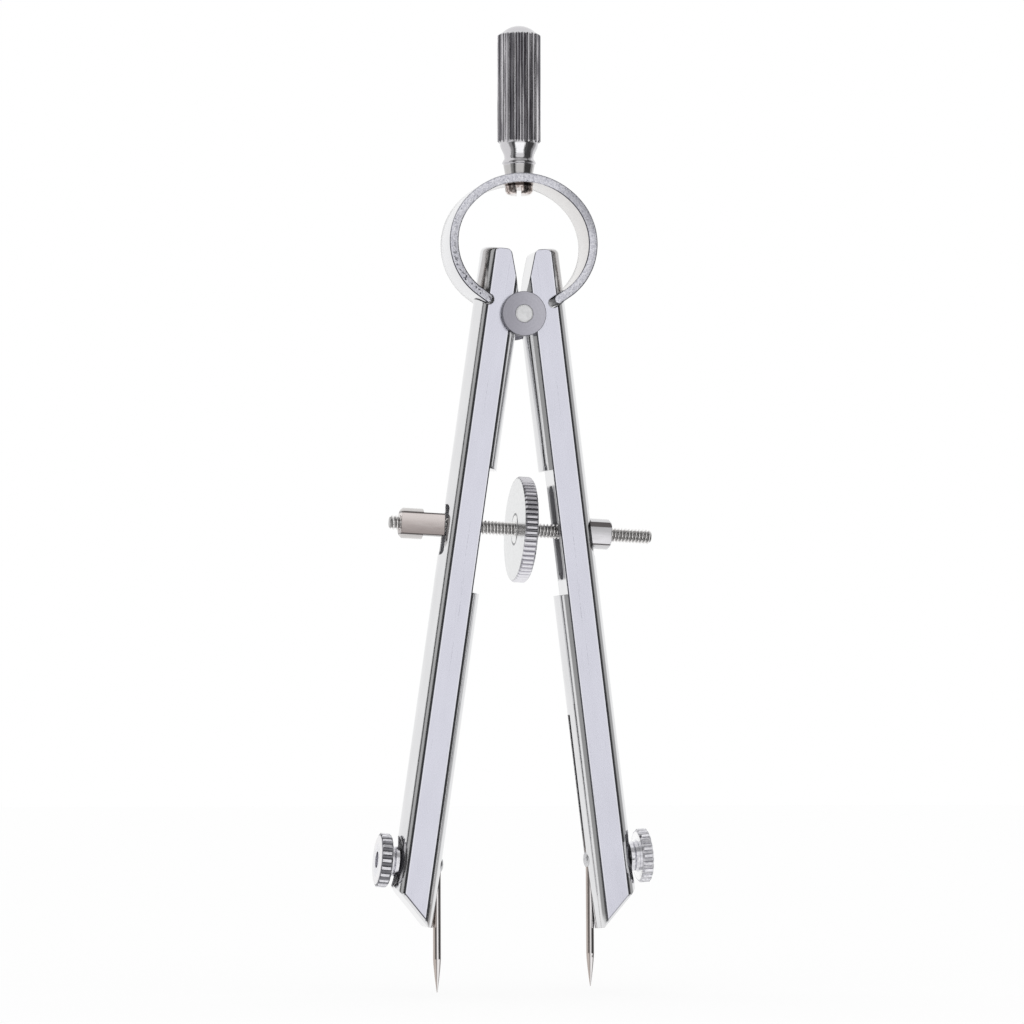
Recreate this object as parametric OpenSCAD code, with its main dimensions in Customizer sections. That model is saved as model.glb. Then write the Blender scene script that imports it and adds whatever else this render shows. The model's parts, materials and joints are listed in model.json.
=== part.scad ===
// Spring divider: two round-sided legs rock on a roller, a ring spring spreads their feet, and a screw with
// opposite threads draws them together. The origin is the middle of the fluted grip, X runs across the legs,
// and the front of the tool faces -Y.

/* [Handle] */
// Diameter of the fluted grip
grip_d = 7.7; // [7:0.1:10]
// Length of the fluted grip
grip_len = 18.8; // [12:0.1:28]
// Length of the neck between the ring spring and the grip
neck_len = 6.1; // [4.6:0.1:8]
// Diameter of the neck at its waist
waist_d = 5.2; // [4.4:0.1:5.6]
// Diameter of the collar at the foot of the neck
collar_d = 6; // [5.7:0.1:6.8]
// Diameter of the neck's foot, where it stands on the ring spring
neck_foot_d = 4.9; // [4.4:0.1:5.6]
// Height of the domed end above the grip
dome_h = 1.8; // [1.2:0.1:3]
// Number of flutes round the grip
flute_count = 24; // [16:1:28]
// Depth of each flute
flute_depth = 0.4; // [0.2:0.05:0.55]

/* [Handle screw] */
// Diameter of the slotted head
head_d = 4.9; // [4:0.1:6]
// Height of the slotted head
head_h = 1.9; // [1.6:0.1:3]
// Diameter of the screw's shank
shank_d = 2.6; // [2:0.1:3]
// Length of the shank inside the handle
shank_grip = 6; // [3:0.1:9]
// Width of the screwdriver slot
driver_slot_w = 0.8; // [0.5:0.05:1.2]

/* [Ring spring] */
// Height of the ring's crown above the pivot
ring_top = 25; // [24:0.1:30]
// Thickness of the spring strip
ring_t = 1.6; // [1:0.05:1.8]
// Width of the spring strip, from front to back
ring_depth = 8.6; // [7:0.1:10]
// Radius of the crown, to the middle of the strip
crown_r = 13.1; // [12:0.05:15]
// Radius of each side, to the middle of the strip
side_r = 10.75; // [9.5:0.05:11.6]
// Angle from the top at which the crown runs into the sides
crown_half_angle = 50; // [35:1:60]
// Slope of the straight ends, below the horizontal
tail_slope = 34.5; // [30:0.5:45]
// Distance of each tip from the middle plane
tip_x = 5.75; // [5.4:0.05:6.4]

/* [Pivot] */
// Diameter of the roller that the legs rock on
roller_d = 5; // [4:0.1:5.6]
// Diameter of the roller's riveted ends
rivet_d = 3.1; // [2:0.1:3.6]
// Height of the riveted ends above the washers
rivet_proud = 0.15; // [0.05:0.05:0.4]
// Diameter of the washers
washer_d = 7.9; // [6.5:0.1:9]
// Thickness of the washers
washer_t = 1; // [0.6:0.05:1.5]

/* [Legs] */
// Diameter of the round bar that the legs are made from
bar_d = 8.2; // [7.4:0.1:9]
// Thickness between the front and back flats
leg_t = 7; // [5.6:0.1:7.2]
// Half the gap between the parallel legs
leg_gap = 0.22; // [0.1:0.02:0.5]
// Length of the leg above the pivot
leg_head = 11.1; // [9:0.1:12.5]
// Length of the leg below the pivot
leg_reach = 109; // [104:0.1:125]
// Opening angle of the left leg
left_open = 8.1; // [2:0.1:12]
// Opening angle of the right leg
right_open = 7; // [2:0.1:12]
// Angle of the tapered inner side above the pivot
head_taper = 18.5; // [12:0.1:20]
// Start of the taper above the pivot
taper_start = 0.8; // [0.5:0.1:2.5]
// Radius of the rounded top end
top_round = 0.9; // [0.3:0.1:1.5]
// Radius of the corner between the top end and the taper
taper_round = 1.2; // [0.4:0.1:1.6]
// Slope of the foot's diagonal cut
foot_slope = 42.5; // [30:0.5:50]
// Depth of the bevel along the foot's cut
foot_bevel = 0.5; // [0.1:0.05:1]

/* [Leg slots] */
// Distance of the wheel recess's middle below the screw
recess_below = 1.05; // [0.5:0.05:1.6]
// Room above and below the wheel in its recess, both together
recess_room = 3.4; // [2.4:0.1:5]
// Depth of the recess, from the round side
recess_depth = 1.8; // [1.4:0.1:2.2]
// Length of the inner slot for the screw
screw_slot_len = 16.8; // [12:0.1:18]
// Room in front of and behind the screw in its slot, both together
screw_slot_room = 1.04; // [0.6:0.02:1.5]
// Distance of the nut pocket's middle below the screw
pocket_below = 1.7; // [1.4:0.05:2]
// Room above and below a nut's head in its pocket, both together
pocket_room = 3.65; // [3.4:0.05:5]
// Room in front of and behind a nut in its pocket, both together
pocket_play = 0.2; // [0.1:0.05:0.6]
// Depth of the nut pocket, from the round side
pocket_depth = 5.1; // [4.8:0.05:5.4]
// Radius of the nut pocket's corners
pocket_corner = 0.9; // [0.3:0.1:1.6]
// Length of the slot under the thumb nut
clamp_slot_len = 9; // [6:0.1:11]
// Width of the slot under the thumb nut
clamp_slot_w = 4; // [3.4:0.1:4.6]
// Depth of the slot under the thumb nut
clamp_slot_depth = 2.6; // [1:0.1:3.2]

/* [Adjusting screw] */
// Diameter over the threads
screw_d = 2.56; // [2.2:0.02:3]
// Pitch of the two opposite threads
thread_pitch = 0.62; // [0.4:0.01:0.8]
// Length of the left-hand part, from the middle of the wheel
screw_left = 23.7; // [22:0.1:30]
// Length of the right-hand part, from the middle of the wheel
screw_right = 23.5; // [18:0.1:30]
// Distance of the wheel's middle below the pivot
screw_drop = 37.9; // [36:0.1:40]
// Distance of the wheel's middle to the right of the pivot
screw_shift = 0.4; // [-1:0.1:1]
// Tilt of the screw, with its right end lower
screw_tilt = 2.6; // [0:0.1:4]
// Diameter of the collar that the wheel is pressed on
screw_collar_d = 5.05; // [4:0.05:6]
// Height of the collar above each face of the wheel
collar_proud = 0.05; // [0.05:0.05:0.3]

/* [Adjusting wheel] */
// Diameter over the teeth
wheel_d = 18.7; // [15:0.1:19.6]
// Thickness of the wheel
wheel_t = 2.4; // [1.6:0.1:2.6]
// Number of teeth round the wheel
wheel_teeth = 62; // [40:1:80]
// Depth of the gaps between the teeth
tooth_depth = 0.45; // [0.2:0.05:0.7]
// Width of the chamfer along each rim
wheel_chamfer = 0.35; // [0.1:0.05:0.6]

/* [Nuts] */
// Diameter of the nuts' heads
nut_d = 5.35; // [4.9:0.05:5.6]
// Thickness between the nuts' front and back flats
nut_t = 3.7; // [3.5:0.05:4.4]
// Length of a nut's head
nut_head_len = 3.9; // [3:0.1:5]
// Height of a nut's stem
stem_h = 3.9; // [3.2:0.05:4.2]
// Length of a nut's stem
stem_len = 3.8; // [3:0.1:4.2]
// Distance that the left nut's stem reaches into its pocket
left_nut_in = 0.09; // [0.05:0.01:1.5]
// Gap between the right nut's stem and its pocket's floor
right_nut_gap = 0.67; // [0.65:0.01:2]

/* [Needle clamps] */
// Distance of the left clamp above the foot's end
left_clamp_up = 10.8; // [9:0.1:14]
// Distance of the right clamp above the foot's end
right_clamp_up = 11.9; // [9:0.1:14]
// Angle by which the clamp bolts' outer ends point down from square to the leg
bolt_lean = 3; // [0:0.5:5]
// Diameter of the clamp bolts
bolt_d = 2.8; // [2.4:0.05:3]
// Length of a bolt outside the leg's round side
bolt_out = 2.3; // [1.8:0.1:3.4]
// Height of a bolt's domed eye inside the leg's round side
eye_proud = 0.4; // [0.3:0.05:0.8]
// Diameter of the thumb nuts
thumb_d = 9.5; // [7:0.1:11]
// Thickness of a thumb nut's rim
thumb_t = 2.1; // [1.4:0.1:3]
// Diameter of a thumb nut's neck
thumb_neck_d = 5.2; // [4.8:0.1:6.4]
// Distance from the leg's round side to the thumb nut's rim
thumb_standoff = 1.15; // [0.8:0.05:2]
// Number of flutes round a thumb nut
thumb_flutes = 22; // [14:1:30]

/* [Needles] */
// Diameter of the needles
needle_d = 1.4; // [1:0.05:1.6]
// Depth of the needles' middle inside the round side, at the clamp
needle_depth = 0.7; // [0.7:0.05:1.2]
// Length from the clamp to the point
needle_down = 22.1; // [18:0.05:28]
// Length from the clamp to the upper end
needle_up = 11.5; // [8:0.1:14]
// Length of the tapered point
point_len = 5.8; // [3:0.1:8]
// Lean of the left needle towards the middle, from the leg's line
left_lean = 8.3; // [6:0.1:10]
// Lean of the right needle towards the middle, from the leg's line
right_lean = 6.7; // [6:0.1:10]
// Length of the needle slot above the clamp
needle_slot_up = 25.7; // [22:0.1:30]

/* [Hidden] */
$fn = 96;
left = -1;
right = 1;
arc_steps = 8;
past = 1;
big = 40;

// Clearances: between parts that turn or slide on each other, and of a pin set in its hole
run_gap = 0.05;
set_gap = 0.02;
thread_gap = 0.04;
washer_gap = 0.1;
ring_slot_gap = 0.12;
left_slot_end = 0.35;
right_slot_end = 1.05;
thumb_gap = 0.12;
needle_slot_gap = 0.14;
eye_hole_d = needle_d + 2 * run_gap;

// Opening angle and needle lean of one side
function open_of(side) = side == left ? left_open : right_open;
function lean_of(side) = side == left ? left_lean : right_lean;

// Distance of one side's clamp below the pivot, and room behind the strip's end in one side's ring slot
function clamp_of(side) = leg_reach - (side == left ? left_clamp_up : right_clamp_up);
function slot_end_of(side) = side == left ? left_slot_end : right_slot_end;

// Handle
grip_r = grip_d / 2;
waist_at = 3.1;
collar_at = 2.1;
collar_edge = 0.2;
shoulder_h = 0.5;
shoulder_in = 0.45;
dome_chamfer = 0.7;
dome_base_r = grip_r - 1;
dome_cap_h = dome_h - dome_chamfer;
flute_r = 0.42;
flute_ring_r = grip_r - flute_depth + flute_r;
grip_end = neck_len + grip_len;
pivot_drop = ring_top + neck_len + grip_len / 2;

// Handle screw
head_round = 0.9;
driver_slot_depth = 1.1;
driver_turn = 12;
spot_face_d = head_d + 0.3;
ring_hole_d = shank_d + 0.2;

// Ring spring
crown_z = ring_top - ring_t / 2 - crown_r;
ring_inner_top = ring_top - ring_t;
side_x = (crown_r - side_r) * sin(crown_half_angle);
side_z = crown_z + (crown_r - side_r) * cos(crown_half_angle);
tail_start_x = side_x + side_r * sin(tail_slope);
tail_len = (tail_start_x - tip_x) / cos(tail_slope);
tip_mid_x = tip_x + ring_t / 2 * cos(tail_slope);
tip_mid_z = side_z - side_r * cos(tail_slope) - (tail_len - ring_t / 2) * sin(tail_slope);
crown_steps = 16;
side_steps = 30;

// Pivot and legs
roller_len = leg_t + 2 * washer_gap;
rivet_len = roller_len + 2 * washer_t;
bar_r = bar_d / 2;
leg_offset = bar_r + leg_gap;
groove_r = roller_d / 2 + run_gap;
foot_end = 2.6;
foot_w = leg_reach - foot_end;

// Slots and pockets of the legs, as distances along a leg and widths
recess_w = screw_drop + recess_below;
recess_len = wheel_d + recess_room;
screw_slot_w = screw_d + screw_slot_room;
pocket_w = screw_drop + pocket_below;
pocket_len = nut_d + pocket_room;
pocket_width = nut_t + pocket_play;
pocket_floor = bar_r - pocket_depth;

// Nuts
nut_chamfer = 0.4;
nut_bore_d = screw_d + 2 * thread_gap;

// Distance from the wheel's middle, along the screw, to a place across one leg
function along_screw(side, across) =
    (leg_offset + across + screw_drop * sin(open_of(side)) - side * screw_shift * cos(open_of(side)))
    / cos(open_of(side) + side * screw_tilt);
left_nut_at = along_screw(left, bar_r - left_nut_in);
right_nut_at = along_screw(right, pocket_floor + right_nut_gap);

// Adjusting screw and wheel
screw_end = 0.65 * thread_pitch;
collar_len = wheel_t + 2 * collar_proud;
wheel_r = wheel_d / 2;
tooth_root = 0.2;
tooth_flank = 0.2;

// Needle clamps
bolt_hole_d = bolt_d + 2 * run_gap;
eye_dome = 0.6;
thumb_bore_d = bolt_d + 2 * run_gap;
thumb_bevel = 0.35;
thumb_flute_r = 0.42;
thumb_seat = sqrt(bar_r * bar_r - clamp_slot_w * clamp_slot_w / 4) + thumb_gap;
thumb_rim = bar_r + thumb_standoff;
neck_groove = 0.3;

// Needles
tip_r = 0.06;
point_curve = 1.3;

// Smooth step from 0 to 1 while t goes from 0 to 1
function ease(t) = (1 - cos(180 * t)) / 2;

// Points of a smooth flare from one radius and height to another
function flare(r0, z0, r1, z1) = [
    for (i = [0:arc_steps]) [r0 + (r1 - r0) * ease(i / arc_steps), z0 + (z1 - z0) * i / arc_steps]
];

// Points of an arc about a middle, from one angle to another
function arc(x, z, r, from, to, steps = arc_steps) = [
    for (i = [0:steps]) let(a = from + (to - from) * i / steps) [x + r * cos(a), z + r * sin(a)]
];

// Points in the opposite order
function reversed(points) = [for (i = [len(points) - 1:-1:0]) points[i]];

// One edge of the spring strip's right half, at a distance outside the strip's middle line
function strip_edge(out) = concat(
    arc(0, crown_z, crown_r + out, 90, 90 - crown_half_angle, crown_steps),
    arc(side_x, side_z, side_r + out, 90 - crown_half_angle, tail_slope - 90, side_steps)
);

// Outline of the right half, from the crown's top round the tip and back under the crown
function strip_half() = concat(
    strip_edge(ring_t / 2),
    arc(tip_mid_x, tip_mid_z, ring_t / 2, tail_slope - 90, tail_slope - 270),
    reversed(strip_edge(-ring_t / 2))
);

// Rounded rectangle
module rounded(length, width, corner) {
    square([length - 2 * corner, width], center = true);
    square([length, width - 2 * corner], center = true);
    for (x = [-1, 1], y = [-1, 1])
        translate([x * (length / 2 - corner), y * (width / 2 - corner)]) circle(corner);
}

// Shape turned about the X axis, from its radius and distance along X
module turned(profile) {
    rotate([0, 90, 0]) rotate_extrude() polygon(profile);
}

// Places: the pivot, one leg's own axes with X outward and Z up the bar, its clamp, its bolt, its needle,
// and the screw
module at_pivot() {
    translate([0, 0, -pivot_drop]) children();
}
module on_leg(side) {
    at_pivot() mirror([side == left ? 1 : 0, 0, 0]) rotate([0, -open_of(side), 0])
        translate([leg_offset, 0, 0]) children();
}
module at_clamp(side) {
    on_leg(side) translate([0, 0, -clamp_of(side)]) children();
}
module at_bolt(side) {
    at_clamp(side) rotate([0, bolt_lean, 0]) children();
}
module needle_place(side) {
    translate([needle_depth - bar_r, 0, 0]) rotate([0, lean_of(side), 0]) children();
}
module on_screw() {
    at_pivot() translate([screw_shift, 0, -screw_drop]) rotate([0, screw_tilt, 0]) children();
}

// Body of the handle, turned about its own axis from its foot upward
module handle_blank() {
    cap_r = (dome_base_r * dome_base_r + dome_cap_h * dome_cap_h) / (2 * dome_cap_h);
    cap_angle = asin(dome_base_r / cap_r);
    rotate_extrude() polygon(concat(
        [[0, 0], [neck_foot_d / 2, 0], [collar_d / 2 - collar_edge, collar_at - collar_edge]],
        flare(collar_d / 2, collar_at, waist_d / 2, waist_at),
        flare(waist_d / 2, waist_at, grip_r - shoulder_in, neck_len - shoulder_h),
        [[grip_r, neck_len], [grip_r, grip_end]],
        arc(0, grip_end + dome_h - cap_r, cap_r, 90 - cap_angle, 90)
    ));
}

// Fluted handle, with a tapped hole and a foot that follows the ring's crown
module handle() {
    color("silver") at_pivot() difference() {
        translate([0, 0, ring_top]) difference() {
            handle_blank();
            for (i = [0:flute_count - 1])
                rotate([0, 0, 360 * i / flute_count])
                    translate([flute_ring_r, 0, neck_len - shoulder_h])
                        cylinder(r = flute_r, h = grip_len + shoulder_h + dome_h, $fn = 32);
            translate([0, 0, -past]) cylinder(d = shank_d + 2 * run_gap, h = shank_grip + 2 * past);
        }
        translate([0, 0, crown_z]) rotate([90, 0, 0])
            cylinder(r = crown_r + ring_t / 2 + set_gap, h = big, center = true, $fn = 192);
    }
}

// Slotted screw that holds the ring spring to the handle
module handle_screw() {
    color("rosybrown") at_pivot() translate([0, 0, ring_inner_top]) difference() {
        rotate_extrude() polygon(concat(
            [[0, -head_h]],
            arc(head_d / 2 - head_round, head_round - head_h, head_round, -90, 0),
            [[head_d / 2, 0], [shank_d / 2, 0], [shank_d / 2, ring_t + shank_grip], [0, ring_t + shank_grip]]
        ));
        rotate([0, 0, -driver_turn]) translate([-driver_slot_w / 2, -head_d, -head_h - past])
            cube([driver_slot_w, 2 * head_d, driver_slot_depth + past]);
    }
}

// Slot in which the strip's right end lies: round at its inner end, and open along the strip's bend
module ring_slot(side) {
    slot_r = ring_t / 2 + ring_slot_gap;
    reach = tail_len - ring_t / 2 + slot_end_of(side);
    translate([side_x, 0, side_z]) rotate([0, 90 - tail_slope, 0]) {
        translate([side_r - slot_r, -big / 2, -reach]) cube([2 * slot_r, big, reach + bar_r]);
        translate([side_r, 0, -reach]) rotate([90, 0, 0]) cylinder(r = slot_r, h = big, center = true);
        intersection() {
            rotate([90, 0, 0]) difference() {
                cylinder(r = side_r + slot_r, h = big, center = true);
                cylinder(r = side_r - slot_r, h = big + past, center = true);
            }
            translate([0, -big / 2, 0]) cube([side_r + big, big, bar_r]);
        }
    }
}

// Oval spring strip, with two straight ends that lie in the legs' slots
module ring_spring() {
    half = strip_half();
    other_half = [for (i = [len(half) - 2:-1:1]) [-half[i][0], half[i][1]]];
    color("lightgray") at_pivot() difference() {
        rotate([90, 0, 0]) linear_extrude(ring_depth, center = true) polygon(concat(half, other_half));
        cylinder(d = ring_hole_d, h = big);
        translate([0, 0, ring_inner_top - ring_t]) cylinder(d = spot_face_d, h = ring_t);
    }
}

// Roller with thinner ends that are riveted over the washers
module pivot_pin() {
    color("gainsboro") at_pivot() rotate([90, 0, 0]) {
        cylinder(d = roller_d, h = roller_len, center = true);
        cylinder(d = rivet_d, h = rivet_len, center = true);
        cylinder(d = rivet_d - 2 * rivet_proud, h = rivet_len + 2 * rivet_proud, center = true);
    }
}

// Flat washer beside the legs, in front or behind
module washer(facing) {
    middle_y = facing * (roller_len + washer_t) / 2;
    color("darkgray") at_pivot() translate([0, middle_y, 0]) rotate([90, 0, 0]) difference() {
        cylinder(d = washer_d, h = washer_t, center = true);
        cylinder(d = rivet_d + 2 * set_gap, h = washer_t + past, center = true);
    }
}

// Round bar with a rounded top end and flats in front and behind
module leg_blank() {
    intersection() {
        rotate_extrude() polygon(concat(
            [[0, -leg_reach], [bar_r, -leg_reach]],
            arc(bar_r - top_round, leg_head - top_round, top_round, 0, 90),
            [[0, leg_head]]
        ));
        translate([-bar_d, -leg_t / 2, -leg_reach - past])
            cube([2 * bar_d, leg_t, leg_reach + leg_head + 2 * past]);
    }
}

// What the inner side of the head loses above the pivot: a taper that runs round a corner into the top
module head_relief() {
    corner_z = leg_head - taper_round;
    along = (corner_z - taper_start + taper_round * sin(head_taper)) / cos(head_taper);
    corner_x = along * sin(head_taper) + taper_round * cos(head_taper) - bar_r;
    rotate([90, 0, 0]) linear_extrude(big, center = true) polygon(concat(
        [[-bar_r, taper_start]],
        arc(corner_x, corner_z, taper_round, 180 - head_taper, 90),
        [[corner_x, big], [-big, big], [-big, taper_start]]
    ));
}

// What the foot loses below its diagonal cut, with a bevel in front and behind
module foot_relief() {
    translate([0, 0, -foot_w]) rotate([0, -foot_slope, 0]) {
        translate([-big / 2, -big / 2, -big]) cube([big, big, big]);
        for (s = [-1, 1])
            translate([0, s * leg_t / 2, foot_bevel]) rotate([s * 45, 0, 0])
                translate([-big / 2, -big / 2, -big]) cube([big, big, big]);
    }
}

// Pocket sunk from a start to an end along the leg's X axis
module sunk(middle_w, length, width, corner, from, to) {
    translate([from, 0, -middle_w]) rotate([0, 90, 0]) linear_extrude(to - from)
        rounded(length, width, corner);
}

// One leg in its own axes
module leg_body(side) {
    difference() {
        leg_blank();
        head_relief();
        foot_relief();
        translate([-leg_offset, 0, 0]) rotate([90, 0, 0]) cylinder(r = groove_r, h = big, center = true);
        translate([-leg_offset, 0, 0]) rotate([0, open_of(side), 0])
            ring_slot(side);
        translate([-bar_d, -big / 2, -recess_w - recess_len / 2])
            cube([bar_d - bar_r + recess_depth, big, recess_len]);
        sunk(recess_w, screw_slot_len, screw_slot_w, screw_slot_w / 2 - set_gap, -bar_d,
            pocket_floor + set_gap);
        sunk(pocket_w, pocket_len, pocket_width, pocket_corner, pocket_floor, bar_d);
        translate([0, 0, -clamp_of(side)]) {
            rotate([0, bolt_lean, 0]) {
                sunk(0, clamp_slot_len, clamp_slot_w, clamp_slot_w / 2 - set_gap,
                    bar_r - clamp_slot_depth, bar_d);
                rotate([0, 90, 0]) cylinder(d = bolt_hole_d, h = big, center = true);
            }
            needle_place(side) translate([-big, -needle_d / 2 - needle_slot_gap, -big])
                cube([big + needle_d / 2 + needle_slot_gap, needle_d + 2 * needle_slot_gap,
                    big + needle_slot_up]);
        }
    }
}

// Leg of one side
module leg(side) {
    color("lavender") on_leg(side) leg_body(side);
}

// Screw with opposite threads, a collar for the wheel and chamfered ends
module adjusting_screw() {
    thread_r = screw_d / 2;
    core_r = thread_r - screw_end;
    collar_r = screw_collar_d / 2;
    color("dimgray") on_screw() turned([
        [0, -screw_left], [core_r, -screw_left], [thread_r, screw_end - screw_left],
        [thread_r, -collar_len / 2], [collar_r - collar_proud, -collar_len / 2],
        [collar_r, collar_proud - collar_len / 2], [collar_r, collar_len / 2 - collar_proud],
        [collar_r - collar_proud, collar_len / 2], [thread_r, collar_len / 2],
        [thread_r, screw_right - screw_end], [core_r, screw_right], [0, screw_right]
    ]);
}

// Toothed outline of the wheel: each tooth has a flat top and a narrow gap
module toothed(radius, depth, teeth) {
    step = 360 / teeth;
    polygon([
        for (i = [0:teeth - 1], p = [[0, radius - depth], [tooth_root, radius - depth],
            [tooth_root + tooth_flank, radius], [1 - tooth_flank, radius]])
            let(a = (i + p[0]) * step) [p[1] * cos(a), p[1] * sin(a)]
    ]);
}

// Thumb wheel, pressed on the screw's collar
module adjusting_wheel() {
    half = wheel_t / 2;
    color("silver") on_screw() difference() {
        intersection() {
            rotate([0, 90, 0]) translate([0, 0, -half]) linear_extrude(wheel_t)
                toothed(wheel_r, tooth_depth, wheel_teeth);
            turned([
                [0, -half], [wheel_r - wheel_chamfer, -half], [wheel_r + set_gap, wheel_chamfer - half],
                [wheel_r + set_gap, half - wheel_chamfer], [wheel_r - wheel_chamfer, half], [0, half]
            ]);
        }
        rotate([0, 90, 0]) cylinder(d = screw_collar_d + 2 * set_gap, h = big, center = true);
    }
}

// Nut with a round head and a narrower stem, flat in front and behind. Its stem starts at X = 0
module nut_body() {
    nut_r = nut_d / 2;
    end = stem_len + nut_head_len;
    difference() {
        intersection() {
            turned([
                [0, 0], [nut_r, 0], [nut_r, end - nut_chamfer], [nut_r - nut_chamfer, end], [0, end]
            ]);
            translate([-past, -nut_t / 2, -nut_d]) cube([end + 2 * past, nut_t, 2 * nut_d]);
        }
        for (m = [0, 1]) mirror([0, 0, m]) translate([-past, -nut_d, stem_h / 2])
            cube([past + stem_len, 2 * nut_d, nut_d]);
        rotate([0, 90, 0]) cylinder(d = nut_bore_d, h = big, center = true);
    }
}

// Nut of one side, on the screw
module nut(side) {
    at = side == left ? left_nut_at : right_nut_at;
    color(side == left ? "rosybrown" : "silver") on_screw() mirror([side == left ? 1 : 0, 0, 0])
        translate([at, 0, 0]) nut_body();
}

// Clamp bolt: a plain shank with a domed eye, through which the needle passes
module clamp_bolt(side) {
    bolt_r = bolt_d / 2;
    inner = -bar_r - eye_proud;
    color("gray") at_clamp(side) difference() {
        rotate([0, bolt_lean, 0]) turned(concat(
            [[0, inner]],
            [for (q = arc(0, 0, 1, 90, 0)) [bolt_r * q[0], inner + eye_dome * (1 - q[1])]],
            [[bolt_r, bar_r + bolt_out - screw_end / 2], [bolt_r - screw_end / 2, bar_r + bolt_out],
            [0, bar_r + bolt_out]]
        ));
        needle_place(side) cylinder(d = eye_hole_d, h = big, center = true);
    }
}

// Fluted thumb nut with a grooved neck
module thumb_nut(side) {
    neck_r = thumb_neck_d / 2;
    rim_r = thumb_d / 2;
    outer = thumb_rim + thumb_t;
    groove_z = (thumb_seat + thumb_rim) / 2;
    color("silver") at_bolt(side) difference() {
        turned([
            [0, thumb_seat], [neck_r, thumb_seat], [neck_r, groove_z - neck_groove / 2],
            [neck_r - neck_groove, groove_z], [neck_r, groove_z + neck_groove / 2], [neck_r, thumb_rim],
            [rim_r - thumb_bevel, thumb_rim], [rim_r, thumb_rim + thumb_bevel],
            [rim_r, outer - thumb_bevel], [rim_r - 2 * thumb_bevel, outer], [0, outer]
        ]);
        rotate([0, 90, 0]) {
            cylinder(d = thumb_bore_d, h = big, center = true);
            for (i = [0:thumb_flutes - 1]) rotate([0, 0, 360 * i / thumb_flutes])
                translate([rim_r, 0, thumb_rim - past])
                    cylinder(r = thumb_flute_r, h = thumb_t + 2 * past, $fn = 24);
        }
    }
}

// Needle with a long slightly rounded point and a chamfered upper end
module needle(side) {
    needle_r = needle_d / 2;
    color("tan") at_clamp(side) needle_place(side) rotate_extrude() polygon(concat(
        [[0, -needle_down]],
        [for (i = [0:arc_steps]) let(t = i / arc_steps)
            [tip_r + (needle_r - tip_r) * (1 - pow(1 - t, point_curve)), point_len * t - needle_down]],
        [[needle_r, needle_up - needle_r / 2], [needle_r / 2, needle_up], [0, needle_up]]
    ));
}

handle();
handle_screw();
ring_spring();
pivot_pin();
washer(-1);  // front_washer
washer(1);  // back_washer
leg(left);  // left_leg
leg(right);  // right_leg
adjusting_screw();
adjusting_wheel();
nut(left);  // left_nut
nut(right);  // right_nut
thumb_nut(left);  // left_thumb_nut
thumb_nut(right);  // right_thumb_nut
clamp_bolt(left);  // left_clamp_bolt
clamp_bolt(right);  // right_clamp_bolt
needle(left);  // left_needle
needle(right);  // right_needle
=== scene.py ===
"""Spring divider on a white ground: finishes for its metal, real threads and a ring spring in two halves.

All sizes are in millimetres until a mesh is made. The frame's own axes are kept: X across the legs, the
front of the tool towards -Y, and Z up the handle.
"""

import json
import math

import bpy
import numpy as np
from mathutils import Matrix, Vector


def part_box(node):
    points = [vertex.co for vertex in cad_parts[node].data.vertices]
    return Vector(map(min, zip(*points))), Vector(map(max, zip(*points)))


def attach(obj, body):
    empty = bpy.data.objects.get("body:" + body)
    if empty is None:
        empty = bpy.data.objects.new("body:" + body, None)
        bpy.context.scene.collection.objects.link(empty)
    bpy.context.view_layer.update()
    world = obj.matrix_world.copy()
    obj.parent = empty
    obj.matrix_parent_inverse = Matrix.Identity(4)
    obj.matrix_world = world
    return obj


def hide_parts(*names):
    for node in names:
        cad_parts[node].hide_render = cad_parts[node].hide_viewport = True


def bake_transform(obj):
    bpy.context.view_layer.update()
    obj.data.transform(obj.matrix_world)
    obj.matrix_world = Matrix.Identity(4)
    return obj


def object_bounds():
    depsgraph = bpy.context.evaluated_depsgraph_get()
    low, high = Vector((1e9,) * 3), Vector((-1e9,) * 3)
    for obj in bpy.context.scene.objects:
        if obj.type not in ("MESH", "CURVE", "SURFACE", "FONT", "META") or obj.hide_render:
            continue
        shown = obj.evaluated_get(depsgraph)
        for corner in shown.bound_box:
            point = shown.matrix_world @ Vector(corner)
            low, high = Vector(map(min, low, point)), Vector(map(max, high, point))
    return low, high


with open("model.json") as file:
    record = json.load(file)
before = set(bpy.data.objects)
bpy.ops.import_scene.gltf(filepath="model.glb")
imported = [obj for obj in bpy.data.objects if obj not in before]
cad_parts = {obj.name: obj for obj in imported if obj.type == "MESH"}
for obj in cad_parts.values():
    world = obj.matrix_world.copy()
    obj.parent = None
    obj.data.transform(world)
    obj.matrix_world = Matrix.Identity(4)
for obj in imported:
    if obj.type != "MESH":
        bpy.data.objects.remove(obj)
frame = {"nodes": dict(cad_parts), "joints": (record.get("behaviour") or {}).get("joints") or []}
cad_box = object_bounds()
nodes = frame["nodes"]

MM = 0.001

# From the frame: the height of the roller's axis, and the joints by name
pin_low, pin_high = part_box("pivot_pin")
PIVOT_Z = (pin_low.z + pin_high.z) / 2 / MM
joints = {joint["name"]: joint for joint in frame["joints"]}
wheel_joint = joints["wheel_turn"]

# Ring spring: a crown arc, a tighter arc on each side, and a straight end in each leg
RING_TOP = 25.0  # above the roller
RING_T = 1.6
RING_DEPTH = 8.6
RING_EDGE = 0.16  # radius of its corners
CROWN_R = 13.1
CROWN_HALF_ANGLE = 50.0
SIDE_R = 10.75
TAIL_SLOPE = 34.5  # of the straight ends, from level
TIP_X = 5.75  # how far out from the middle they end
STRIP_ROUND_END = 31.0  # along the strip, where its round end starts

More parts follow.
